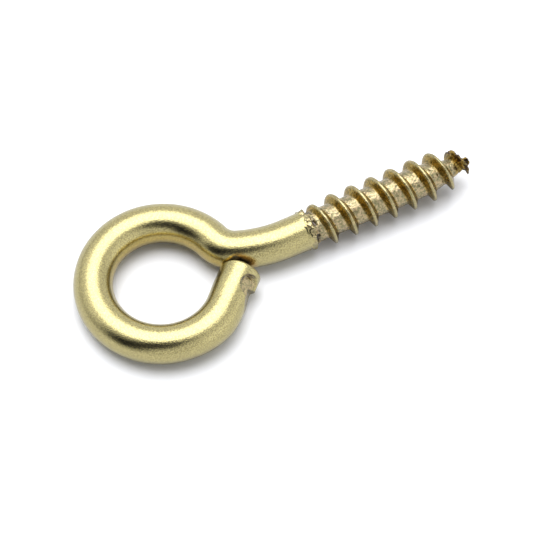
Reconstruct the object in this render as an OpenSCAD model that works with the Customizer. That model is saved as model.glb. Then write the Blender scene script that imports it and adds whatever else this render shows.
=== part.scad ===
// Screw eye: one piece of brass-coloured wire, with an eye bent at one end and a coarse wood
// thread rolled on the other. Sizes are in millimetres.
// The eye lies flat in the XY plane with its centre at the origin, and the shank runs along
// +X beside it to the torn tip of the thread.

/* [Wire] */
// Diameter of the wire
wire_d = 3.7; // [3.2:0.1:4.2]

/* [Eye] */
// Clear diameter inside the eye
eye_d = 9.1; // [8:0.1:11]
// How far the shank's axis lies beside the eye's centre
eye_offset = 0.87; // [0.5:0.01:1.3]
// Turn of the wire round the eye, where the bend stops and the wire runs on straight
eye_turn = 295; // [285:1:298]
// Length of the straight wire after the bend
end_length = 4.05; // [3:0.05:4.2]
// Diameter of the sheared end, which the shears have spread a little
end_d = 3.88; // [3.75:0.01:4.2]
// Rounding of the sheared end's rim
end_bevel = 0.25; // [0.1:0.01:0.4]
// Air left between the sheared end and the neck
end_gap = 0.08; // [0.05:0.01:0.3]
// Slant of the corner that was pressed against the neck
pressed_slant = 14; // [5:1:30]

/* [Shear scar] */
// Width of the lip left between the scar and the end face
scar_lip = 0.78; // [0.6:0.01:1.1]
// Radius of the round scar
scar_r = 1.05; // [0.7:0.01:1.1]
// Depth of its flat floor
scar_depth = 0.33; // [0.1:0.01:0.4]
// How far round the wire the scar faces up from the outer side
scar_turn = 31; // [10:1:50]
// Distance from the eye's bend to the step where the shears' slanting bite ends
notch_at = 2.3; // [1.6:0.05:2.4]
// Depth of that bite at the step
notch_depth = 0.54; // [0.1:0.01:0.6]
// How far round the wire the bite faces down from the outer side
notch_turn = 6; // [0:1:20]
// Lean of the step across the wire
notch_skew = 14; // [0:1:25]

/* [Neck] */
// Bend radius beside the eye, at the wire's centre
neck_bend_r = 2.83; // [2.5:0.01:3.6]
// Bend radius beside the shank, at the wire's centre
shank_bend_r = 13; // [10:0.5:15]
// Turn of the bend beside the shank
shank_bend_turn = 22; // [18:0.5:25]

/* [Shank] */
// Length of the smooth straight shank, from the bend to the shoulder
shank_length = 2.25; // [1.8:0.05:8]
// Number of nicks torn in the shoulder's edge
nick_count = 15; // [0:1:16]
// Radius of the largest nick
nick_r = 0.27; // [0.1:0.01:0.3]

/* [Thread] */
// Length of the thread, from the shoulder to the torn tip
thread_length = 17.1; // [14:0.1:24]
// Distance from one crest to the next
pitch = 2.1; // [1.8:0.05:2.6]
// Diameter over the crests
crest_d = 4.6; // [4.3:0.05:5]
// Diameter of the core between the crests
core_d = 3.08; // [2.6:0.02:3.2]
// Width of the flat on a crest
crest_flat = 0.3; // [0.15:0.01:0.45]
// Width of one flank, measured along the shank
flank_run = 0.38; // [0.25:0.01:0.5]
// Length over which the crests rise behind the shoulder
lead_in = 4.2; // [2:0.1:6]
// Length over which the thread narrows towards the tip
tip_taper = 6; // [4.5:0.1:8]
// Length of the torn tip
tear_length = 1; // [0.6:0.05:1.4]
// Thickness of the core where it is torn off
tear_d = 1.2; // [0.8:0.05:1.5]
// Unevenness of the torn metal, as a share of its radius
tear_roughness = 0.3; // [0:0.05:0.4]
// Number of torn lumps in one turn
tear_lumps = 9; // [6:1:12]
// Steps in one turn of the thread
steps = 36; // [24:4:48]

/* [Hidden] */

$fn = 96;
brass = [0.80, 0.71, 0.46];

wire_r = wire_d / 2;
eye_r = (eye_d + wire_d) / 2;
shank_y = -eye_offset;

// The neck leaves the shank on the wide bend, turns back on the tight one and runs into the
// eye without a kink. The centres below follow from that.
neck_c_y = shank_y + shank_bend_r - (shank_bend_r - neck_bend_r) * cos(shank_bend_turn);
eye_start = asin(neck_c_y / (eye_r + neck_bend_r));
neck_c_x = (eye_r + neck_bend_r) * cos(eye_start);
bend_c_x = neck_c_x + (shank_bend_r - neck_bend_r) * sin(shank_bend_turn);
bend_c_y = shank_y + shank_bend_r;
eye_end = eye_start + eye_turn;

shoulder_x = bend_c_x + shank_length;
tip_x = shoulder_x + thread_length;
tear_x = tip_x - tear_length;
taper_x = tip_x - tip_taper;

// The first ridge starts rising this far before the shoulder and stands just before it.
ridge_lead = 0.31;
ridge_margin = 0.02;
// The crests start to swell this far before the shoulder.
crest_lead = 0.1;
// The thread's own solid starts this far inside the smooth shank, ahead of the first ridge.
collar_length = 0.2;
// The core's narrowing is quicker than the crests', so the last turns stand proud of it.
core_reach = 1.0;
crest_reach = 1.24;
// The first ridge comes out of the shoulder flush with the wire.
flush_share = 0.96;
// The ridge ends this far before the point where its taper would close.
ridge_end = tear_x + 0.55 * tear_length;
ridge_fade = 0.35 * tear_length;
cavity_depth = 0.45 * tear_length;
// The torn metal's unevenness grows from just before the tear to halfway along it.
rough_lead = 0.3;
rough_full = 0.5;

// Where one stretch of wire runs into the next: the outer one is thicker by swell on the
// radius, and the inner one runs on into it by joint_overlap.
swell = 0.01;
joint_overlap = 0.1;

// Profile of one pitch, as offsets along the shank from the crest's middle.
flank_foot = crest_flat / 2 + flank_run;
profile_x = [-pitch / 2, -flank_foot, -crest_flat / 2, crest_flat / 2, flank_foot];
profile_crest = [0, 0, 1, 1, 0];
columns = len(profile_x);

// The crest's middle starts at start_x and moves one pitch along the shank in each turn.
start_angle = 180;
start_x = shoulder_x - ridge_lead;
// Past the tip the rows lie close together, and this many millimetres more close the tear.
run_past = 0.7;
rows = ceil((tip_x + run_past - start_x) / pitch * steps);
tear_seed = 7;
lump_size = rands(-1, 1, ceil((rows + 1 + steps) / steps * tear_lumps) + 2, tear_seed);

// The nicks differ in size and stray a little from the shoulder's edge.
most_nicks = 16;
smallest_nick = 0.45;
nick_stray = 0.05;
nick_size = rands(smallest_nick, 1, most_nicks, 3);
nick_shift = rands(-nick_stray, nick_stray, most_nicks, 5);

function share(value, low, high) = min(1, max(0, (value - low) / (high - low)));

// Past the start of the tear, distances along the shank close up towards the tip.
function squeezed(x) =
    x < tear_x ? x : tear_x + tear_length * (1 - exp(-(x - tear_x) / tear_length));

function taper(x, reach) = 1 - pow(share(x, taper_x, taper_x + tip_taper * reach), 2);

function core_radius(x) = max(tear_d / 2, core_d / 2 * taper(x, core_reach));

function crest_radius(x) =
    let (lead = sin(90 * share(x, shoulder_x - crest_lead, shoulder_x + lead_in)))
    let (start_r = wire_r * flush_share)
    (start_r + (crest_d / 2 - start_r) * lead) * taper(x, crest_reach);

// 1 where the ridge stands, 0 where it has not yet risen or has been torn away.
function ridge(x) =
    share(x, start_x, shoulder_x - ridge_margin) * (1 - share(x, ridge_end, ridge_end + ridge_fade));

function ridge_radius(x) =
    core_radius(x) + ridge(x) * max(0, crest_radius(x) - core_radius(x));

// Height of the torn lumps at a row, from -1 to 1, running smoothly from one to the next.
function lump(row) =
    let (at = row / steps * tear_lumps)
    let (i = floor(at))
    let (blend = (1 - cos(180 * (at - i))) / 2)
    lump_size[i] * (1 - blend) + lump_size[i + 1] * blend;

function thread_point(row, column) =
    let (angle = start_angle + 360 * row / steps)
    let (crest_x = start_x + pitch * row / steps)
    let (x = crest_x + profile_x[column])
    let (rough = tear_roughness * share(x, tear_x - rough_lead, tear_x + rough_full))
    let (smooth_r = profile_crest[column] > 0 ? ridge_radius(crest_x) : core_radius(x))
    let (radius = smooth_r * (1 + rough * lump(row)))
    [squeezed(x), shank_y + radius * cos(angle), radius * sin(angle)];

function ring_point(step, x, radius) =
    [x, shank_y + radius * cos(start_angle + 360 * step / steps),
     radius * sin(start_angle + 360 * step / steps)];

// The threaded length as one closed surface that follows the helix. Each row is one step round,
// and a row's last edge is the first of the row one turn on.
module thread() {
    body = [for (row = [0 : rows], column = [0 : columns - 1]) thread_point(row, column)];
    last_spiral = [for (row = [rows + 1 : rows + steps]) thread_point(row, 0)];
    inner_x = thread_point(0, 0)[0] - collar_length;
    inner_ring = [for (step = [0 : steps - 1]) ring_point(step, inner_x, core_d / 2)];
    first_spiral = len(body);
    ring = first_spiral + steps;
    inner_centre = ring + steps;
    cavity = inner_centre + 1;
    points = concat(body, last_spiral, inner_ring,
        [[inner_x, shank_y, 0], [tip_x - cavity_depth, shank_y, 0]]);

    function at(row, column) =
        column == columns ? at(row + steps, 0)
        : row <= rows ? row * columns + column
        : first_spiral + row - rows - 1;

    sides = [for (row = [0 : rows - 1], column = [0 : columns - 1])
        each [[at(row, column), at(row + 1, column + 1), at(row + 1, column)],
              [at(row, column), at(row, column + 1), at(row + 1, column + 1)]]];
    collar = [for (step = [0 : steps - 2])
        each [[ring + step, at(step + 1, 0), ring + step + 1],
              [ring + step, at(step, 0), at(step + 1, 0)]]];
    seam_from = at(steps - 1, 0);
    seam_line = concat([ring + steps - 1, ring], [for (column = [0 : columns]) at(0, column)]);
    seam = [for (i = [0 : len(seam_line) - 2]) [seam_from, seam_line[i + 1], seam_line[i]]];
    inner_cap = [for (step = [0 : steps - 1])
        [inner_centre, ring + step, ring + (step + 1) % steps]];
    torn_line = concat([for (column = [0 : columns]) at(rows, column)],
        [for (row = [rows + steps - 1 : -1 : rows]) at(row, 0)]);
    torn = [for (i = [0 : len(torn_line) - 2]) [cavity, torn_line[i], torn_line[i + 1]]];

    polyhedron(points, concat(sides, collar, seam, inner_cap, torn), convexity = 12);
}

// Part of a ring of wire about the Z axis, run on by a length at each end.
module wire_arc(radius, from, turn, d = wire_d, before = 0, after = 0) {
    degrees_per_mm = 180 / (PI * radius);
    rotate_extrude(angle = turn + (before + after) * degrees_per_mm,
            start = from - before * degrees_per_mm)
        translate([radius, 0])
            circle(d = d);
}

module eye() {
    wire_arc(eye_r, eye_start, eye_turn, wire_d, joint_overlap, joint_overlap);
}

// The tighter the bend, the more the wire has swollen, and each bend holds the end of the
// straighter stretch beside it.
module neck() {
    translate([neck_c_x, neck_c_y])
        wire_arc(neck_bend_r, 180 + eye_start, 90 - shank_bend_turn - eye_start, wire_d + 4 * swell);
    translate([bend_c_x, bend_c_y])
        wire_arc(shank_bend_r, 270 - shank_bend_turn, shank_bend_turn, wire_d + 2 * swell,
            joint_overlap);
}

// The last, straight stretch of the eye's wire, along local +Z with +X on the eye's outer side.
module at_wire_end() {
    rotate(eye_end)
        translate([eye_r, 0])
            rotate([-90, 0, 0])
                children();
}

// Round flat scar of the shears on the outer side of the end.
module scar_cutter() {
    rotate([0, 0, -scar_turn])
        translate([wire_r - scar_depth, 0, end_length - scar_lip - scar_r])
            rotate([0, 90, 0])
                cylinder(r = scar_r, h = wire_d);
}

// Spreads from the wire's own diameter to the sheared end's.
module wire_stub() {
    spread = end_length / 2;
    rim_z = end_length - end_bevel;
    cylinder(h = spread, d1 = wire_d + 2 * swell, d2 = end_d);
    translate([0, 0, spread])
        cylinder(h = rim_z - spread, d = end_d);
    translate([0, 0, rim_z])
        cylinder(h = end_bevel, d1 = end_d, d2 = end_d - 2 * end_bevel);
}

// Slanting bite of the shears across the outer side, from nothing at the eye's bend down to a
// step.
module notch_cutter() {
    outside = wire_r + notch_depth;
    rotate([0, 0, notch_turn])
        translate([0, 0, notch_at])
            rotate([90 + notch_skew, 0, 0])
                linear_extrude(2 * wire_d, center = true)
                    polygon([
                        [outside, 0],
                        [wire_r - notch_depth, 0],
                        [outside, -2 * notch_at],
                    ]);
}

module wire_end() {
    difference() {
        at_wire_end()
            difference() {
                wire_stub();
                scar_cutter();
                notch_cutter();
            }
        pressed_corner();
    }
}

// The inner corner of the end was pressed flat against the neck: all that lies nearer to the
// neck than its gap, measured square to the slanted face.
module pressed_corner() {
    translate([neck_c_x, neck_c_y])
        rotate(eye_end - 90 + pressed_slant)
            translate([0, -wire_d, -wire_d])
                cube([neck_bend_r + wire_r + end_gap, 2 * wire_d, 2 * wire_d]);
}

module shank() {
    difference() {
        translate([bend_c_x - joint_overlap, shank_y])
            rotate([0, 90, 0])
                cylinder(h = shank_length + joint_overlap, d = wire_d);
        nicks();
    }
}

// Small bites torn out of the shoulder's edge where the thread starts.
module nicks() {
    for (i = [0 : 1 : nick_count - 1])
        translate([shoulder_x + nick_shift[i], shank_y])
            rotate([i * 360 / nick_count, 0, 0])
                translate([0, wire_r, 0])
                    sphere(r = nick_r * nick_size[i], $fn = 24);
}

module screw_eye() {
    color(brass)
        union() {
            eye();
            wire_end();
            neck();
            shank();
            thread();
        }
}

screw_eye();
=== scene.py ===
"""Looks of the brass screw eye: its own surface, its metal, the floor and the studio light."""
import math

import bpy
import numpy as np
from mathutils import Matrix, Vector, noise


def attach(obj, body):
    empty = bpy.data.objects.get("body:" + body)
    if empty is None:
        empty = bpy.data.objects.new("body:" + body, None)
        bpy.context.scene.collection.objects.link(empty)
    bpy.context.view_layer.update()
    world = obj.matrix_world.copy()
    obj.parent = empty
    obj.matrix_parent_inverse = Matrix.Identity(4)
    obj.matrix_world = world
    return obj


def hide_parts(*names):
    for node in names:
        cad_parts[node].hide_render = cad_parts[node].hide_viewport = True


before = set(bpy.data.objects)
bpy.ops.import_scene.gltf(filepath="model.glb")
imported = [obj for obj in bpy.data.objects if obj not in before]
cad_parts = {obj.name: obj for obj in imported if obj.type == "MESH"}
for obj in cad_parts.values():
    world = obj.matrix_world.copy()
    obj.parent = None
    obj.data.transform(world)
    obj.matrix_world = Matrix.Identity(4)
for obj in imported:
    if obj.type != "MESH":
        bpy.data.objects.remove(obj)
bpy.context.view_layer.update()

MM = 0.001

# ---------------------------------------------------------------------------------------------
# Sizes, in millimetres and degrees, in the row frame: the eye's centre is the origin, and the
# shank runs along +X. They follow the CAD part, with small fits to the photograph.
# ---------------------------------------------------------------------------------------------
WIRE_R = 1.85
EYE_R = 6.40
SHANK_Y = -0.87
EYE_TURN = 295.0
END_LENGTH = 3.98
END_R = 1.94
END_RIM = 0.25
END_GAP = 0.15
PRESSED_SLANT = 14.0
NECK_R = 2.83
BEND_R = 13.0
BEND_TURN = 22.0
SHANK_LENGTH = 2.25
THREAD_LENGTH = 17.1

# The thread. The first crest starts FIRST_CREST_LEAD before the shoulder, at FLUSH_SHARE of the
# wire's radius. The crests grow from CREST_LEAD before the shoulder to LEAD_IN past it.
PITCH = 2.1
CREST_R = 2.3
CORE_R = 1.54
CREST_FLAT = 0.22
FLANK_RUN = 0.38
FIRST_CREST_LEAD = 0.31
CREST_LEAD = 0.1
LEAD_IN = 2.6
FLUSH_SHARE = 0.96
# A low ridge is narrower than a full one, down to this share of its width.
NARROWEST_SHARE = 0.45
# The core and the crests start to narrow this far before the tip. The crests would narrow to
# nothing over CREST_REACH, which ends past the tip. The core is never thinner than TEAR_R.
TIP_TAPER = 6.0
CREST_TAPER = 4.85
CREST_REACH = 5.9
TEAR_LENGTH = 1.0
TEAR_R = 0.4
# The ridge sinks from this far past the tear's start to this far before the tip.
RIDGE_SINKS_AFTER = 0.55
RIDGE_GONE_BEFORE = 0.1
# The middle of the torn face lies this much deeper than its rim.
TIP_HOLLOW = 0.3

# The shears' round scar, and their slanting bite that ends in a step. Turns are from the eye's
# outer side towards +Z.
SCAR_LIP = 0.71
SCAR_R = 1.05
SCAR_DEPTH = 0.33
SCAR_TURN = 34.0
SCAR_WALL = 0.1
SCAR_GROOVE = 0.1
NOTCH_AT = 2.35
NOTCH_DEPTH = 0.54
NOTCH_TURN = 2.0
NOTCH_SKEW = 14.0
STEP_WALL = 0.12
# The scar has its groove, and its ledge's painted shadow, only on the side that this direction
# points to, given as shares along the wire and across it. They fade in between these distances.
LIP_SIDE = (0.6, 0.8)
LIP_SIDE_FROM = (0.3, 0.65)
# The groove and the ledge near the scar's edge, as distances past the edge.
GROOVE_BAND = (-0.5, -0.1)
LEDGE_RISE = (-0.26, -0.12)
LEDGE_FALL = (0, 0.08)
# The bite's edge gets a painted shadow where the bite is shallower than BITE_EDGE, this far from
# the eye's bend and further. Less than LEAST_BITE is no bite.
BITE_EDGE = 0.06
BITE_EDGE_FROM = 0.1
LEAST_BITE = 0.005
# How much of the raw metal's look the scar and the bite have.
SHEARED_LOOK = 0.55
# A flat is cut only where the surface faces it at least this squarely. Elsewhere its radius is
# UNCUT, larger than any here. LEAST_ROOM keeps the pressed flat off the middle line.
LEAST_FACING = 0.2
SCAR_LEAST_FACING = 0.3
PRESSED_LEAST_FACING = 0.02
LEAST_ROOM = 0.01
UNCUT = 9.0

# The swelling on the outer side of the eye beside the sheared end: its height, and where it
# rises and falls along the wire.
BULGE_HEIGHT = 0.14
BULGE_RISE = (0.0, 1.6)
BULGE_FALL = (2.2, 5.0)

# ---------------------------------------------------------------------------------------------
# Unevenness that wear and the tools have left, in millimetres
# ---------------------------------------------------------------------------------------------
# The crests' corners are rounded, as a share of the ridge. The crests wave along X and are
# dented, with bumps that are these shares of a turn long.
CORNER_SOFTNESS = 0.14
CREST_WAVE = 0.035
CREST_WAVE_TURN = 0.55
CREST_DENT = 0.0175
CREST_DENT_TURN = 0.16

# The shoulder's edge, its ring of chips and its lip. The pairs are distances from the shoulder,
# along X, over which each rises or falls. CHIP_BIAS sinks the chips, and CHIP_RAGGED frays the
# edge of their ring.
SHOULDER_EDGE = (-0.06, 0.06)
CHIP_SIZE = 0.4
CHIP_DEPTH = 0.2
CHIP_BIAS = 0.35
CHIP_RAGGED = 0.3
CHIPS_RISE = (-0.65, -0.55)
CHIPS_FALL = (0.3, 0.6)
SHOULDER_LIP = 0.12
LIP_RISE = (-0.8, -0.3)
LIP_FALL = (0.0, 0.25)
SHOULDER_REACH = 0.9
# The sheared faces have the same facets, this deep.
RAW_ROUGHNESS = 0.05

# The torn tip fades in between these distances from the tear's start. It has broad facets and
# a share of the chips' finer ones, and they are pulled back along X unevenly.
TORN_FROM = (-1.15, -0.6)
TORN_SIZE = 0.5
TORN_DEPTH = 0.1
TORN_FINE = 0.5
TORN_PULL = 0.5
TORN_PULL_FROM = -0.1
TORN_PULL_POWER = 1.5
# Lumps torn up there: place along X, angle from +Y to +Z, width, height. The arm turns an
# angle between two places into a distance.
TORN_LUMPS = (
    (30.72, 26, 0.42, 0.08),
    (32.1, 85, 0.4, 0.25),
    (31.1, 165, 0.4, 0.12),
    (31.1, 130, 0.3, 0.16),
)
LUMP_ARM = 0.8

# Roots and raw metal: two grains, (share, size), and pits where a third noise is above a level.
ROOT_BUMP = 0.028
COARSE_GRAIN = (0.6, 0.34)
FINE_GRAIN = (0.5, 0.16)
PIT_DEPTH = 0.05
PIT_SIZE = 0.3
PIT_LEVEL = 0.28
PIT_WALL = 0.4
LEAST_RADIUS = 0.12
# The painted shadow along the scar's ledge and the bite's edge at the sheared end is broken up by
# a noise, between these values of it.
LEDGE_SHADOW_SIZE = 0.3
LEDGE_SHADOW_LEVEL = (-0.35, 0.1)

# Each noise has a seed, which moves it this far through the noise's space.
WAVE_SEED, DENT_SEED = 1, 2
CHIP_SEED, TORN_SEED = 1, 2
COARSE_SEED, FINE_SEED, PIT_SEED, LEDGE_SHADOW_SEED = 3, 4, 5, 7
ALONG_SHIFT = 7.5
BUMP_SHIFT = (17.3, 5.1, 9.7)
FACET_SHIFT = (11.3, 3.7, 7.9)
# A facet's height and lean are drawn from its middle, spread out to cells of their own.
FACET_SPREAD = 23.0
FACET_STEP = 0.7
FACET_LEAN = 1.2
CELL_MIDDLE = 0.5

# ---------------------------------------------------------------------------------------------
# Where the metal looks different: shares of a mask, and distances in millimetres
# ---------------------------------------------------------------------------------------------
# Painted shade, with a painted amber reflection of the brass, lies on the thread's flanks, given
# as shares of the ridge's height, and in the crease at their foot. There is less of it on the side
# towards the eye. The torn tip is darkened with the same colours.
FLANK_FOOT = (0.0, 0.12)
FLANK_TOP = (0.7, 0.95)
CREASE_WIDTH = 0.16
EYE_SIDE_SHADE = 0.8
TORN_DARKENING = 0.85
# The crests have this much less of the roots' dull look. The chips are half as rough as raw
# metal, and have this much of its colour.
CREST_WEAR = 0.45
CHIPPED_ROUGH = 0.5
CHIPPED_RAW = 0.45
# A hollow this deep gets the pits' full painted shade, and so do the lowest torn facets.
HOLLOW_SHADE_DEPTH = 0.13
TORN_SHADE = (0.05, 0.45)
TORN_SHADE_FINE = 0.6
# The gap between the sheared end's face and the neck, with painted shade in it and a painted
# amber reflection of the end's brass beside it: distances from the wire's radius, and distances
# beyond the face.
CREVICE_SIDE = (-0.35, 0.05)
CREVICE_RISE = (-0.1, 0.0)
CREVICE_FALL = (0.45, 1.15)
# A deeper gold is painted on the eye's inner side, below its top, as a painted reflection of
# the metal across the eye. It fades out over this length before the neck.
INNER_FACING = (0.55, 0.95)
INNER_HEIGHT = (-0.7, -0.15)
INNER_END = 2.0

# The two bends of the neck, from the sizes above.
neck_y = SHANK_Y + BEND_R - (BEND_R - NECK_R) * math.cos(math.radians(BEND_TURN))
eye_start = math.asin(neck_y / (EYE_R + NECK_R))
neck_x = (EYE_R + NECK_R) * math.cos(eye_start)
bend_x = neck_x + (BEND_R - NECK_R) * math.sin(math.radians(BEND_TURN))
bend_y = SHANK_Y + BEND_R
eye_end = eye_start + math.radians(EYE_TURN)
shoulder_x = bend_x + SHANK_LENGTH
tip_x = shoulder_x + THREAD_LENGTH
tear_x = tip_x - TEAR_LENGTH
taper_x = tip_x - TIP_TAPER
crest_taper_x = tip_x - CREST_TAPER
first_crest_x = shoulder_x - FIRST_CREST_LEAD
flank_foot = CREST_FLAT / 2 + FLANK_RUN
end_dir = np.array([-math.sin(eye_end), math.cos(eye_end)])

# Points in a ring, and the spacing of the surface's rings along the wire. The rings lie closest
# on the thread, from a little before the shoulder on.
AROUND = 128
EYE_STEP = 0.25
NECK_STEP = 0.15
END_STEP = 0.055
THREAD_STEP = 0.042
CLOSE_RINGS_LEAD = 0.9


def share(value, low, high):
    """How far the value has come from low to high, from 0 to 1."""
    return np.clip((value - low) / (high - low), 0.0, 1.0)


def smooth(value, low, high):
    """The same, with a soft start and end."""
    t = share(value, low, high)
    return t * t * (3 - 2 * t)


def past(x, place, span):
    """0 before the span's start and 1 after its end, both measured from a place."""
    return smooth(x, place + span[0], place + span[1])


def rounded(value, softness):
    """The value held between 0 and 1, with its two corners rounded off."""
    def corner(v):
        bent = (v + softness) ** 2 / (4 * softness)
        return np.where(v > softness, v, np.where(v < -softness, 0, bent))

    return 1 - corner(1 - corner(value))


def heading(angle):
    """The unit vector at an angle from +X, in the plane of the eye."""
    return np.array([math.cos(angle), math.sin(angle)])


# ---------------------------------------------------------------------------------------------
# The wire's middle line, from the sheared end round the eye to the torn tip
# ---------------------------------------------------------------------------------------------
def steps(length, step):
    """Even steps of about this size along a length, without the last one."""
    return np.linspace(0, length, max(2, round(length / step) + 1))[:-1]


def run_along(places):
    """How far each place is from the first one, along the line through them."""
    gaps = np.linalg.norm(np.diff(places, axis=0), axis=1)
    return np.concatenate([[0], np.cumsum(gaps)])


def middle_line():
    """Places and directions along the wire, and how far each place is from the sheared end."""
    places, directions = [], []

    def arc(centre, radius, start, turn, step, sense):
        """Places on a circle from one angle on, anticlockwise where the sense is 1."""
        for done in steps(turn * radius, step) / radius:
            a = start + sense * done
            places.append(np.array(centre) + radius * heading(a))
            directions.append(sense * np.array([-math.sin(a), math.cos(a)]))

    def straight(x):
        places.append(np.array([x, SHANK_Y]))
        directions.append(np.array([1.0, 0.0]))

    start = EYE_R * heading(eye_end) + END_LENGTH * end_dir
    for d in steps(END_LENGTH, END_STEP):
        places.append(start - d * end_dir)
        directions.append(-end_dir)
    bend_turn = math.radians(BEND_TURN)
    neck_turn = math.pi / 2 - bend_turn - eye_start
    arc([0, 0], EYE_R, eye_end, math.radians(EYE_TURN), EYE_STEP, -1)
    arc([neck_x, neck_y], NECK_R, math.pi + eye_start, neck_turn, NECK_STEP, 1)
    arc([bend_x, bend_y], BEND_R, 1.5 * math.pi - bend_turn, bend_turn, EYE_STEP, 1)
    for x in bend_x + steps(SHANK_LENGTH - CLOSE_RINGS_LEAD, EYE_STEP):
        straight(x)
    for x in np.arange(shoulder_x - CLOSE_RINGS_LEAD, tip_x + THREAD_STEP / 2, THREAD_STEP):
        straight(min(x, tip_x))
    places, directions = np.array(places), np.array(directions)
    return places, directions, run_along(places)


# ---------------------------------------------------------------------------------------------
# Noises
# ---------------------------------------------------------------------------------------------
def noise_along(x, turn, seed):
    """Smooth noise from -1 to 1 along the thread's helix, with bumps of this share of a turn."""
    at = (x - first_crest_x) / PITCH / turn
    low, high = math.floor(at.min()), math.ceil(at.max()) + 1
    heights = np.array([
        noise.cell(Vector((i + CELL_MIDDLE, seed * ALONG_SHIFT, CELL_MIDDLE)))
        for i in range(low, high + 1)
    ])
    i = np.floor(at).astype(int)
    t = smooth(at - i, 0, 1)
    return heights[i - low] * (1 - t) + heights[i - low + 1] * t


def bumps(points, size, seed):
    """Smooth noise from -1 to 1, with bumps of this size."""
    shift = Vector([seed * s for s in BUMP_SHIFT])
    flat = points.reshape(-1, 3) / size
    values = [noise.noise(Vector(p) + shift) for p in flat]
    return np.array(values).reshape(points.shape[:-1])


def facets(points, size, seed):
    """Broken metal: flat faces of this size, each with its own height and lean, from -1 to 1."""
    shift = Vector([seed * s for s in FACET_SHIFT])
    level = Vector([CELL_MIDDLE] * 3)
    values = []
    for p in points / size:
        at = Vector(p) + shift
        middle = noise.voronoi(at)[1][0]
        key = middle * FACET_SPREAD
        lean = noise.cell_vector(key) - level
        values.append(FACET_STEP * noise.cell(key) + FACET_LEAN * lean.dot(at - middle))
    return np.array(values)


# ---------------------------------------------------------------------------------------------
# The thread
# ---------------------------------------------------------------------------------------------
def core_radius(x):
    return np.maximum(TEAR_R, CORE_R * (1 - share(x, taper_x, tip_x) ** 2))


def crest_radius(x):
    lead = np.sin(np.radians(90 * share(x, shoulder_x - CREST_LEAD, shoulder_x + LEAD_IN)))
    first = WIRE_R * FLUSH_SHARE
    taper = 1 - share(x, crest_taper_x, crest_taper_x + CREST_REACH) ** 2
    return (first + (CREST_R - first) * lead) * taper


def thread_radius(x, angle):
    """The thread's radius at a place along the shank and an angle round it, from +Y to +Z, how
    much of a ridge stands there, from 0 in the root to 1 on the crest, and where painted shade
    goes on its flanks and in the crease at their foot."""
    turn = angle / (2 * math.pi) - 0.5
    phase = (x - first_crest_x) / PITCH - turn
    crest_x = first_crest_x + PITCH * (np.round(phase) + turn)
    side = x - crest_x - CREST_WAVE * noise_along(crest_x, CREST_WAVE_TURN, WAVE_SEED)
    full = (crest_radius(crest_x) - core_radius(crest_x)) / (CREST_R - CORE_R)
    off = np.abs(side) / (NARROWEST_SHARE + (1 - NARROWEST_SHARE) * np.clip(full, 0, 1))
    height = rounded(1 - (off - CREST_FLAT / 2) / FLANK_RUN, CORNER_SOFTNESS)
    stands = share(crest_x, first_crest_x, shoulder_x) * (
        1 - share(crest_x, tear_x + RIDGE_SINKS_AFTER, tip_x - RIDGE_GONE_BEFORE)
    )
    dents = CREST_DENT * np.abs(noise_along(crest_x, CREST_DENT_TURN, DENT_SEED))
    top = crest_radius(crest_x) - dents
    ridge = height * stands
    # Painted shade on the flanks and in the crease at their foot, less of it on the side towards
    # the eye.
    foot = smooth(height, *FLANK_FOOT)
    flank = foot * (1 - smooth(height, *FLANK_TOP))
    crease = 1 - smooth(off, flank_foot, flank_foot + CREASE_WIDTH)
    flank_shade = np.maximum(flank, crease * (1 - foot)) * stands
    flank_shade = flank_shade * np.where(side > 0, 1.0, EYE_SIDE_SHADE)
    radius = core_radius(x) + ridge * np.maximum(0, top - core_radius(crest_x))
    return radius, ridge, flank_shade


# ---------------------------------------------------------------------------------------------
# The sheared end. Here z runs along the wire from the eye's bend towards the end, and angles
# go from the eye's outer side towards +Z.
# ---------------------------------------------------------------------------------------------
def bite_into(radius, angle, z, at_end):
    """The radius with the shears' slanting bite, where the bite is, and where its edge is."""
    facing = np.cos(angle - math.radians(NOTCH_TURN))
    across = radius * np.sin(angle - math.radians(NOTCH_TURN))
    step_z = NOTCH_AT - across * math.tan(math.radians(NOTCH_SKEW))
    depth = NOTCH_DEPTH * share(z, 0, NOTCH_AT) * (1 - smooth(z, step_z - STEP_WALL, step_z))
    reach = (WIRE_R - depth) / np.maximum(facing, LEAST_FACING)
    bitten = np.minimum(radius, np.where(facing > LEAST_FACING, reach, UNCUT))
    in_bite = at_end & (z < step_z) & (bitten < radius - LEAST_BITE)
    edge = in_bite * (1 - smooth(radius - bitten, 0.0, BITE_EDGE))
    edge = edge * (z > BITE_EDGE_FROM) * (np.sin(angle) > 0)
    return np.where(at_end & (z < step_z), bitten, radius), in_bite, edge


def scar_into(radius, angle, z, at_end):
    """The radius with the shears' round scar, where the scar is, and where its ledge is."""
    facing = np.cos(angle - math.radians(SCAR_TURN))
    floor = (WIRE_R - SCAR_DEPTH) / np.maximum(facing, LEAST_FACING)
    across = floor * np.sin(angle - math.radians(SCAR_TURN))
    along = z - (END_LENGTH - SCAR_LIP - SCAR_R)
    from_middle = np.hypot(along, across)
    in_scar = (facing > SCAR_LEAST_FACING) * at_end
    scar = smooth(SCAR_R - from_middle, 0, SCAR_WALL) * in_scar
    at_lip = smooth(LIP_SIDE[0] * along + LIP_SIDE[1] * across, *LIP_SIDE_FROM)
    groove = SCAR_GROOVE * past(from_middle, SCAR_R, GROOVE_BAND) * at_lip
    ledge = past(from_middle, SCAR_R, LEDGE_RISE) * (1 - past(from_middle, SCAR_R, LEDGE_FALL))
    cut = np.minimum(radius, radius * (1 - scar) + (floor - groove) * scar)
    return cut, scar, ledge * in_scar * at_lip


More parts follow.
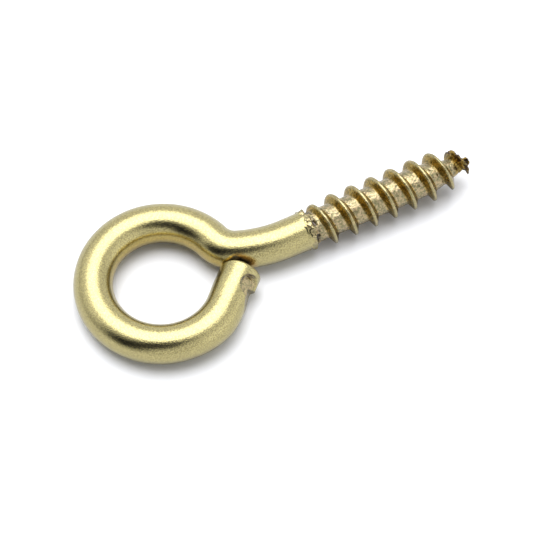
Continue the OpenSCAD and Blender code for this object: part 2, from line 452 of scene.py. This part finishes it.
def shape_end(angle, run, places, outward):
    """The wire's radius with the sheared end's forms, where raw metal shows, and where painted
    shadow goes along the scar's ledge and the bite's edge.
    """
    at_end = (run < END_LENGTH)[:, None]
    z = (END_LENGTH - run)[:, None]
    spread = WIRE_R + (END_R - WIRE_R) * share(z, 0, END_LENGTH / 2)
    radius = np.where(at_end, spread, np.full(outward.shape[:2], WIRE_R))
    swollen = share(-z, *BULGE_RISE) - share(-z, *BULGE_FALL)
    radius = radius + BULGE_HEIGHT * swollen * np.maximum(0, np.cos(angle)) ** 2
    radius, in_bite, bite_edge = bite_into(radius, angle, z, at_end)
    radius, scar, ledge = scar_into(radius, angle, z, at_end)

    # The rounded rim.
    inside = END_RIM - np.clip(run, 0, END_RIM)
    radius = radius - (END_RIM - np.sqrt(END_RIM**2 - inside**2))[:, None]

    # The corner pressed flat against the neck.
    towards = heading(eye_end - math.pi / 2 + math.radians(PRESSED_SLANT))
    room = (places - [neck_x, neck_y]) @ towards - (NECK_R + WIRE_R + END_GAP)
    against = -(outward[:, :, :2] @ towards)
    reach = np.maximum(room, LEAST_ROOM)[:, None] / np.maximum(against, PRESSED_LEAST_FACING)
    pressed = np.where(against > PRESSED_LEAST_FACING, reach, UNCUT)
    radius = np.where(at_end, np.minimum(radius, pressed), radius)
    return radius, SHEARED_LOOK * np.maximum(scar, in_bite), np.maximum(ledge, bite_edge)


def crevice_mask(points, end_place):
    """1 in the narrow gap between the sheared end's face and the neck, where painted shade and a
    painted reflection go.
    """
    off = points[:, :, :2] - end_place
    beyond = off @ end_dir
    side = np.linalg.norm(np.dstack([off - beyond[:, :, None] * end_dir, points[:, :, 2]]), axis=2)
    reach = smooth(beyond, *CREVICE_RISE) * (1 - share(beyond, *CREVICE_FALL))
    return (1 - past(side, WIRE_R, CREVICE_SIDE)) * reach


# ---------------------------------------------------------------------------------------------
# The surface
# ---------------------------------------------------------------------------------------------
def surface():
    """The points of every ring, in millimetres, and masks for how the metal looks there."""
    places, directions, run = middle_line()
    angle = np.linspace(0, 2 * math.pi, AROUND, endpoint=False)
    left = np.stack([-directions[:, 1], directions[:, 0]], axis=1)
    outward = np.zeros((len(places), AROUND, 3))
    outward[:, :, 0] = left[:, :1] * np.cos(angle)
    outward[:, :, 1] = left[:, 1:] * np.cos(angle)
    outward[:, :, 2] = np.sin(angle)
    middle = np.zeros_like(outward)
    middle[:, :, :2] = places[:, None, :]
    radius, raw, ledge_shadow = shape_end(angle, run, places, outward)

    # The thread.
    on_thread = (places[:, 0] > shoulder_x - CLOSE_RINGS_LEAD)[:, None]
    x = np.broadcast_to(places[:, :1], radius.shape)
    thread, ridge, flank_shade = thread_radius(x, np.broadcast_to(angle, radius.shape))
    edge = past(x, shoulder_x, SHOULDER_EDGE)
    shank = WIRE_R * (1 - edge) + thread * edge
    threaded = np.where(x < shoulder_x, np.maximum(WIRE_R, thread), shank)
    radius = np.where(on_thread, threaded, radius)
    root = np.where(on_thread, edge * (1 - CREST_WEAR * ridge), 0)

    # The ring of chips at the shoulder, and the torn tip.
    base = middle + radius[:, :, None] * outward
    near = on_thread & (x < shoulder_x + SHOULDER_REACH)
    torn = past(x, tear_x, TORN_FROM) * on_thread
    broken = np.zeros_like(radius)
    uneven = near | (torn > 0) | (raw > 0)
    broken[uneven] = facets(base[uneven], CHIP_SIZE, CHIP_SEED)
    chipped = near * past(x + CHIP_RAGGED * broken, shoulder_x, CHIPS_RISE)
    chipped = chipped * (1 - past(x, shoulder_x, CHIPS_FALL))
    lip = near * past(x, shoulder_x, LIP_RISE) * (1 - past(x, shoulder_x, LIP_FALL))
    worn = chipped * CHIP_DEPTH * (broken - CHIP_BIAS) + lip * SHOULDER_LIP
    worn += raw * RAW_ROUGHNESS * broken
    torn_faces = np.zeros_like(radius)
    torn_faces[torn > 0] = facets(base[torn > 0], TORN_SIZE, TORN_SEED)
    worn += torn * TORN_DEPTH * (torn_faces + TORN_FINE * broken)
    for lump_x, lump_angle, width, height in TORN_LUMPS:
        turn = (angle - math.radians(lump_angle) + math.pi) % (2 * math.pi) - math.pi
        distance = (x - lump_x) ** 2 + (LUMP_ARM * turn) ** 2
        worn += torn * height * np.exp(-distance / width**2)

    # Roots are rough and pitted, and so is every raw face.
    rough = np.clip(root + raw + CHIPPED_ROUGH * chipped + torn, 0, 1)
    coarse = COARSE_GRAIN[0] * bumps(base, COARSE_GRAIN[1], COARSE_SEED)
    grain = coarse + FINE_GRAIN[0] * bumps(base, FINE_GRAIN[1], FINE_SEED)
    pits = np.clip(bumps(base, PIT_SIZE, PIT_SEED) - PIT_LEVEL, 0, 1) / PIT_WALL
    worn += rough * (ROOT_BUMP * grain - PIT_DEPTH * pits)
    radius = np.maximum(radius + worn, LEAST_RADIUS)
    points = middle + radius[:, :, None] * outward
    towards_tip = share(x, tear_x + TORN_PULL_FROM, tip_x) ** TORN_PULL_POWER
    pull = (0.5 + 0.5 * torn_faces) * towards_tip
    points[:, :, 0] -= TORN_PULL * pull * on_thread

    # Metal that faces metal across the eye mirrors it: a deeper gold is painted there, a painted
    # reflection.
    painted_inner_reflection = smooth(-np.cos(angle), *INNER_FACING) * smooth(-np.sin(angle), *INNER_HEIGHT)
    # Painted shadow under the sheared end's ledge and along the bite's edge, broken up by a noise.
    broken_ledge_shadow = ledge_shadow * smooth(bumps(base, LEDGE_SHADOW_SIZE, LEDGE_SHADOW_SEED), *LEDGE_SHADOW_LEVEL)
    # Painted shade in deep hollows of rough metal and on the lowest torn facets.
    hollow = np.clip(-worn / HOLLOW_SHADE_DEPTH, 0, 1) * rough
    torn_shade = torn * smooth(-torn_faces - TORN_SHADE_FINE * broken, *TORN_SHADE)
    # The masks carry painted light too: a painted reflection on the eye's inner side, and painted
    # shade on the flanks, in hollows, along the ledges and in the crevice.
    masks = {
        "painted_inner_reflection": painted_inner_reflection * (1 - share(x, neck_x - INNER_END, neck_x)),
        "raw": np.clip(raw + CHIPPED_RAW * chipped + torn, 0, 1),
        "root": np.clip(root, 0, 1),
        "flank_shade": np.maximum(np.where(on_thread, flank_shade * edge, 0), TORN_DARKENING * torn),
        "hollow_shade": np.clip(np.maximum(hollow, torn_shade) + broken_ledge_shadow, 0, 1),
        "crevice": crevice_mask(points, places[0]),
    }
    return points, masks


def add_object(name, data):
    """A new object in the scene."""
    obj = bpy.data.objects.new(name, data)
    bpy.context.scene.collection.objects.link(obj)
    return obj


def mesh_from_rings(name, rings, inner_cap, outer_cap, masks):
    """A closed mesh of rings of points, each end closed to a middle point of its own."""
    count, around = rings.shape[:2]
    verts = np.concatenate([rings.reshape(-1, 3), [inner_cap, outer_cap]]) * MM
    faces = []
    for i in range(count - 1):
        near, far = i * around, (i + 1) * around
        for j in range(around):
            k = (j + 1) % around
            faces.append((near + j, near + k, far + k, far + j))
    last_ring, first_cap, last_cap = (count - 1) * around, count * around, count * around + 1
    for j in range(around):
        k = (j + 1) % around
        faces.append((first_cap, k, j))
        faces.append((last_cap, last_ring + j, last_ring + k))
    mesh = bpy.data.meshes.new(name)
    mesh.from_pydata([tuple(v) for v in verts], [], faces)
    for mask, values in masks.items():
        ends = [values[0].max(), values[-1].max()]
        mesh.attributes.new(mask, "FLOAT", "POINT").data.foreach_set(
            "value", np.concatenate([values.ravel(), ends]).astype(np.float32)
        )
    mesh.shade_smooth()
    return add_object(name, mesh)


rings, masks = surface()
end_middle = rings[0].mean(axis=0)
tip_middle = rings[-1].mean(axis=0) - np.array([TIP_HOLLOW, 0, 0])
eye_piece = mesh_from_rings("screw_eye_metal", rings, end_middle, tip_middle, masks)


# ---------------------------------------------------------------------------------------------
# Metal. Each pair of colours is spread over a noise between its two stops, which are values of
# the noise.
# ---------------------------------------------------------------------------------------------
SATIN_DARK = (0.40, 0.34, 0.125)
SATIN_LIGHT = (0.65, 0.57, 0.235)
# The painted reflection on the eye's inner side: a deeper gold.
REFLECTED_GOLD_DARK = (0.36, 0.25, 0.03)
REFLECTED_GOLD_LIGHT = (0.66, 0.48, 0.07)
SATIN_STOPS = (0.36, 0.64)
RAW_OLIVE = (0.17, 0.16, 0.065)
RAW_PINK = (0.57, 0.42, 0.24)
RAW_STOPS = (0.42, 0.58)
# Painted shade on the thread's flanks, from dark to a painted amber reflection of the brass. The
# torn tip is darkened with them too.
FLANK_SHADE_DARK = (0.13, 0.085, 0.012)
FLANK_REFLECTION_AMBER = (0.50, 0.32, 0.02)
FLANK_SHADE_STOPS = (0.35, 0.65)
# Painted shade in pits and deep hollows, on the lowest torn facets and along the sheared end's
# ledges.
HOLLOW_SHADE_BROWN = (0.10, 0.052, 0.016)
HOLLOW_SHADE_BLACK = (0.03, 0.02, 0.01)
HOLLOW_SHADE_STOPS = (0.3, 0.7)
# The crevice's two colours, a painted amber reflection and a painted black shade, are spread
# over its mask. It is opaque from half of the mask on.
CREVICE_REFLECTION_AMBER = (0.66, 0.42, 0.08)
CREVICE_SHADE_BLACK = (0.012, 0.007, 0.005)
CREVICE_STOPS = (0.35, 0.8)
CREVICE_COVER = 2.0
# How strong each mask is where it is full.
FLANK_SHADE_STRENGTH = 0.85
INNER_REFLECTION_STRENGTH = 0.8
ROOT_DULLNESS = 0.75
# The plate's roughness from the noise's low to its high, and how much more raw metal has.
SATIN_ROUGHNESS = (0.14, 0.26)
DULL_ROUGHNESS = 0.12
# The clear shine on top, where there is no painted flank shade and no darkened torn tip.
COAT = 0.8
COAT_IOR = 1.8
COAT_ROUGHNESS = 0.25
# The noises: grains in a metre, and how many finer layers each has.
GRAIN = (8000, 2)
BLOTCH = (4500, 3)
BROAD = (900, 3)
# How strongly the grain turns the light, and the depths of both bumps in metres.
GRAIN_STRENGTH = 0.8
GRAIN_DEPTH = 0.00002
BLOTCH_DEPTH = 0.00006
# The mix node's sockets when it mixes colours.
MIX_FACTOR, MIX_FIRST, MIX_SECOND, MIX_RESULT = 0, 6, 7, 2


def color_mix(nodes):
    """A node that mixes two colours."""
    node = nodes.new("ShaderNodeMix")
    node.data_type = "RGBA"
    return node


def brass_material():
    """Satin brass plate, pinkish and dull where the metal is raw, with painted shade in its pits,
    on its flanks and in the crevice, and painted reflections of brass.
    """
    mat = bpy.data.materials.new("satin_brass")
    mat.use_nodes = True
    nodes, links = mat.node_tree.nodes, mat.node_tree.links
    shader = nodes["Principled BSDF"]
    shader.inputs["Metallic"].default_value = 1.0
    shader.inputs["Coat Roughness"].default_value = COAT_ROUGHNESS
    shader.inputs["Coat IOR"].default_value = COAT_IOR
    where = nodes.new("ShaderNodeTexCoord").outputs["Object"]

    def mask(name):
        node = nodes.new("ShaderNodeAttribute")
        node.attribute_name = name
        return node.outputs["Fac"]

    def texture(scale, detail):
        node = nodes.new("ShaderNodeTexNoise")
        node.inputs["Scale"].default_value = scale
        node.inputs["Detail"].default_value = detail
        links.new(where, node.inputs["Vector"])
        return node.outputs["Fac"]

    def ramp(value, stops, colors):
        node = nodes.new("ShaderNodeValToRGB")
        for element, stop, color in zip(node.color_ramp.elements, stops, colors):
            element.position = stop
            element.color = (*color, 1)
        links.new(value, node.inputs["Fac"])
        return node.outputs["Color"]

    def mix(factor, first, second):
        node = color_mix(nodes)
        links.new(factor, node.inputs[MIX_FACTOR])
        links.new(first, node.inputs[MIX_FIRST])
        links.new(second, node.inputs[MIX_SECOND])
        return node.outputs[MIX_RESULT]

    def span(value, low, high):
        node = nodes.new("ShaderNodeMapRange")
        node.inputs["To Min"].default_value = low
        node.inputs["To Max"].default_value = high
        links.new(value, node.inputs["Value"])
        return node.outputs["Result"]

    def arithmetic(kind, first, second):
        node = nodes.new("ShaderNodeMath")
        node.operation = kind
        node.use_clamp = True
        links.new(first, node.inputs[0])
        links.new(second, node.inputs[1])
        return node.outputs[0]

    # The plate with its painted reflection on the eye's inner side, and over it the raw metal, the
    # painted shade and amber reflection on the flanks, the painted shade in pits and hollows, and
    # the crevice's painted shade and reflection.
    fine = texture(*GRAIN)
    broad = texture(*BROAD)
    blotch = texture(*BLOTCH)
    satin = ramp(fine, SATIN_STOPS, (SATIN_DARK, SATIN_LIGHT))
    bare = ramp(blotch, RAW_STOPS, (RAW_OLIVE, RAW_PINK))
    dull = arithmetic("MAXIMUM", mask("raw"), span(mask("root"), 0.0, ROOT_DULLNESS))
    reflected_gold = ramp(fine, SATIN_STOPS, (REFLECTED_GOLD_DARK, REFLECTED_GOLD_LIGHT))
    satin = mix(span(mask("painted_inner_reflection"), 0.0, INNER_REFLECTION_STRENGTH), satin, reflected_gold)
    color = mix(dull, satin, bare)
    links.new(span(mask("flank_shade"), COAT, 0.0), shader.inputs["Coat Weight"])
    flank_shade = ramp(blotch, FLANK_SHADE_STOPS, (FLANK_SHADE_DARK, FLANK_REFLECTION_AMBER))
    color = mix(span(mask("flank_shade"), 0.0, FLANK_SHADE_STRENGTH), color, flank_shade)
    color = mix(mask("hollow_shade"), color, ramp(broad, HOLLOW_SHADE_STOPS, (HOLLOW_SHADE_BROWN, HOLLOW_SHADE_BLACK)))
    painted_crevice = ramp(mask("crevice"), CREVICE_STOPS, (CREVICE_REFLECTION_AMBER, CREVICE_SHADE_BLACK))
    color = mix(span(mask("crevice"), 0.0, CREVICE_COVER), color, painted_crevice)
    links.new(color, shader.inputs["Base Color"])

    # The plate's fine grain, and the coarser one of raw metal.
    polish = span(fine, *SATIN_ROUGHNESS)
    roughness = arithmetic("ADD", polish, span(dull, 0.0, DULL_ROUGHNESS))
    links.new(roughness, shader.inputs["Roughness"])
    bump = nodes.new("ShaderNodeBump")
    bump.inputs["Strength"].default_value = GRAIN_STRENGTH
    bump.inputs["Distance"].default_value = GRAIN_DEPTH
    links.new(fine, bump.inputs["Height"])
    pitted = nodes.new("ShaderNodeBump")
    pitted.inputs["Distance"].default_value = BLOTCH_DEPTH
    links.new(span(dull, 0.0, 1.0), pitted.inputs["Strength"])
    links.new(blotch, pitted.inputs["Height"])
    links.new(bump.outputs["Normal"], pitted.inputs["Normal"])
    links.new(pitted.outputs["Normal"], shader.inputs["Normal"])
    return mat


eye_piece.data.materials.append(brass_material())
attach(eye_piece, "root")
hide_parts("screw_eye")


# ---------------------------------------------------------------------------------------------
# Rest: the floor's plane is the one on which the piece's centre of mass lies lowest
# ---------------------------------------------------------------------------------------------
# The search's step of slope at first. It is halved until it is no larger than the last.
FIRST_STEP = 0.02
LAST_STEP = 1e-5


def resting_plane(points, centre):
    """The slopes along X and Y, and the height at the origin, of the plane it comes to rest on."""
    def height(slope):
        base = (points[:, 2] - points[:, :2] @ slope).min()
        return (centre[2] - centre[:2] @ slope - base) / math.sqrt(1 + slope @ slope), base

    slope = np.zeros(2)
    step = FIRST_STEP
    while step > LAST_STEP:
        tries = [slope + step * np.array(d) for d in ((0, 0), (1, 0), (-1, 0), (0, 1), (0, -1))]
        best = min(tries, key=lambda s: height(s)[0])
        if np.array_equal(best, slope):
            step /= 2
        slope = best
    return slope, height(slope)[1]


def centre_of_mass(rings):
    """Centre of the solid between the rings, each slice weighed by its area and its length."""
    middle = rings.mean(axis=1)
    spokes = rings - middle[:, None]
    area = np.linalg.norm(np.cross(spokes, np.roll(spokes, -1, axis=1)), axis=2).sum(axis=1)
    weight = area * np.gradient(run_along(middle))
    return (middle * weight[:, None]).sum(axis=0) / weight.sum()


# ---------------------------------------------------------------------------------------------
# Floor, in metres. The picture is exposed so that the open floor is white, but the light that
# it sends back to the metal is that of a grey floor.
# ---------------------------------------------------------------------------------------------
FLOOR_SIZE = 3.0
FLOOR_GREY = 0.52
FLOOR_WHITE = (0.845, 0.855, 0.89)
FLOOR_ROUGHNESS = 0.9


def floor_material():
    """White for the camera, and grey for everything else."""
    mat = bpy.data.materials.new("pale_floor")
    mat.use_nodes = True
    nodes, links = mat.node_tree.nodes, mat.node_tree.links
    shader = nodes["Principled BSDF"]
    shader.inputs["Roughness"].default_value = FLOOR_ROUGHNESS
    shade = color_mix(nodes)
    shade.inputs[MIX_FIRST].default_value = (FLOOR_GREY,) * 3 + (1,)
    shade.inputs[MIX_SECOND].default_value = (*FLOOR_WHITE, 1)
    seen = nodes.new("ShaderNodeLightPath").outputs["Is Camera Ray"]
    links.new(seen, shade.inputs[MIX_FACTOR])
    links.new(shade.outputs[MIX_RESULT], shader.inputs["Base Color"])
    return mat


def make_floor(slope, height):
    """A square floor with these slopes along X and Y, at this height in mm at the origin."""
    half = FLOOR_SIZE / 2
    corners = [(-half, -half), (half, -half), (half, half), (-half, half)]
    verts = [(x, y, height * MM + x * slope[0] + y * slope[1]) for x, y in corners]
    mesh = bpy.data.meshes.new("floor")
    mesh.from_pydata(verts, [], [(0, 1, 2, 3)])
    mesh.materials.append(floor_material())
    obj = add_object("floor", mesh)


make_floor(*resting_plane(rings.reshape(-1, 3), centre_of_mass(rings)))

# ---------------------------------------------------------------------------------------------
# Camera: the photograph's viewing angle. The lens and the sensor are in millimetres, and the
# nearest and farthest distances in metres.
# ---------------------------------------------------------------------------------------------
AZIMUTH = math.radians(-26.146)
ELEVATION = math.radians(61.398)
TARGET = Vector((9.609, -3.202, 0.0)) * MM
DISTANCE = 217.65 * MM
LENS = 155.6
SENSOR_WIDTH = 36.0
NEAREST = 0.01
FARTHEST = 20.0

back = Vector((
    math.sin(AZIMUTH) * math.cos(ELEVATION),
    -math.cos(AZIMUTH) * math.cos(ELEVATION),
    math.sin(ELEVATION),
))
camera_data = bpy.data.cameras.new("camera")
camera_data.lens = LENS
camera_data.sensor_width = SENSOR_WIDTH
camera_data.clip_start = NEAREST
camera_data.clip_end = FARTHEST
camera = add_object("camera", camera_data)
camera.location = TARGET + back * DISTANCE
camera.rotation_mode = "QUATERNION"
camera.rotation_quaternion = (-back).to_track_quat("-Z", "Y")
bpy.context.scene.camera = camera

# ---------------------------------------------------------------------------------------------
# Light. A place in the sky is two angles from the zenith, in degrees: to the photographer's
# right, and towards the photographer.
# ---------------------------------------------------------------------------------------------
RIGHT = Vector((math.cos(AZIMUTH), math.sin(AZIMUTH), 0.0))
TO_VIEWER = Vector((math.sin(AZIMUTH), -math.cos(AZIMUTH), 0.0))
UP = Vector((0.0, 0.0, 1.0))

# The tent's even glow. Patches of light add to it and patches of dark take a share away:
# (angle right, angle to the viewer, core, edge, amount), with core and edge in degrees.
TENT_STRENGTH = 0.74
BRIGHT_PATCHES = (
    (-2, -15, 17, 39, 2.15),
    (-55, -20, 24, 34, 0.28),
    (-2, -45, 10, 75, 0.12),
    (78, 30, 15, 45, 0.3),
)
DARK_PATCHES = (
    (-38, 44, 10, 32, 1.0),
    (-2, 34, 12, 29, 0.95),
    (-105, -20, 25, 65, 0.35),
)
# The lamp: its place in the sky, watts, and metres.
KEY_AT = (-6, -14)
KEY_POWER = 1.5
KEY_SIZE = 0.42
KEY_DISTANCE = 0.5


def sky_direction(right, to_viewer):
    """The direction that lies these two angles from the zenith, as seen from above."""
    away = math.radians(math.hypot(right, to_viewer))
    side = (RIGHT * right + TO_VIEWER * to_viewer).normalized()
    return side * math.sin(away) + UP * math.cos(away)


def studio_world():
    """A light tent: an even glow, with brighter and darker patches that the metal mirrors."""
    world = bpy.data.worlds.new("studio")
    world.use_nodes = True
    nodes, links = world.node_tree.nodes, world.node_tree.links
    background = nodes["Background"]
    background.inputs["Color"].default_value = (1, 1, 1, 1)
    direction = nodes.new("ShaderNodeTexCoord").outputs["Generated"]

    def math_node(kind, first, second):
        node = nodes.new("ShaderNodeMath")
        node.operation = kind
        for socket, value in zip(node.inputs, (first, second)):
            if isinstance(value, (int, float)):
                socket.default_value = value
            else:
                links.new(value, socket)
        return node.outputs[0]

    def patch(right, to_viewer, core, edge, amount):
        """The amount within core degrees of a direction, falling to 0 at edge degrees."""
        dot = nodes.new("ShaderNodeVectorMath")
        dot.operation = "DOT_PRODUCT"
        links.new(direction, dot.inputs[0])
        dot.inputs[1].default_value = sky_direction(right, to_viewer)
        fall = nodes.new("ShaderNodeMapRange")
        fall.interpolation_type = "SMOOTHSTEP"
        fall.inputs["From Min"].default_value = math.cos(math.radians(edge))
        fall.inputs["From Max"].default_value = math.cos(math.radians(core))
        links.new(dot.outputs["Value"], fall.inputs["Value"])
        return math_node("MULTIPLY", fall.outputs["Result"], amount)

    strength = TENT_STRENGTH
    for bright in BRIGHT_PATCHES:
        strength = math_node("ADD", patch(*bright), strength)
    for dark in DARK_PATCHES:
        left = math_node("SUBTRACT", 1.0, patch(*dark))
        strength = math_node("MULTIPLY", strength, left)
    links.new(strength, background.inputs["Strength"])
    bpy.context.scene.world = world


def key_light():
    """A soft lamp that lights only the floor. The metal mirrors the brightest patch instead."""
    lamp = bpy.data.lights.new("key", "AREA")
    lamp.shape = "DISK"
    lamp.size = KEY_SIZE
    lamp.energy = KEY_POWER
    direction = sky_direction(*KEY_AT)
    obj = add_object("key", lamp)
    obj.location = TARGET + direction * KEY_DISTANCE
    obj.rotation_mode = "QUATERNION"
    obj.rotation_quaternion = direction.to_track_quat("Z", "Y")
    obj.visible_glossy = False


studio_world()
key_light()

bpy.context.scene.view_settings.view_transform = "Standard"
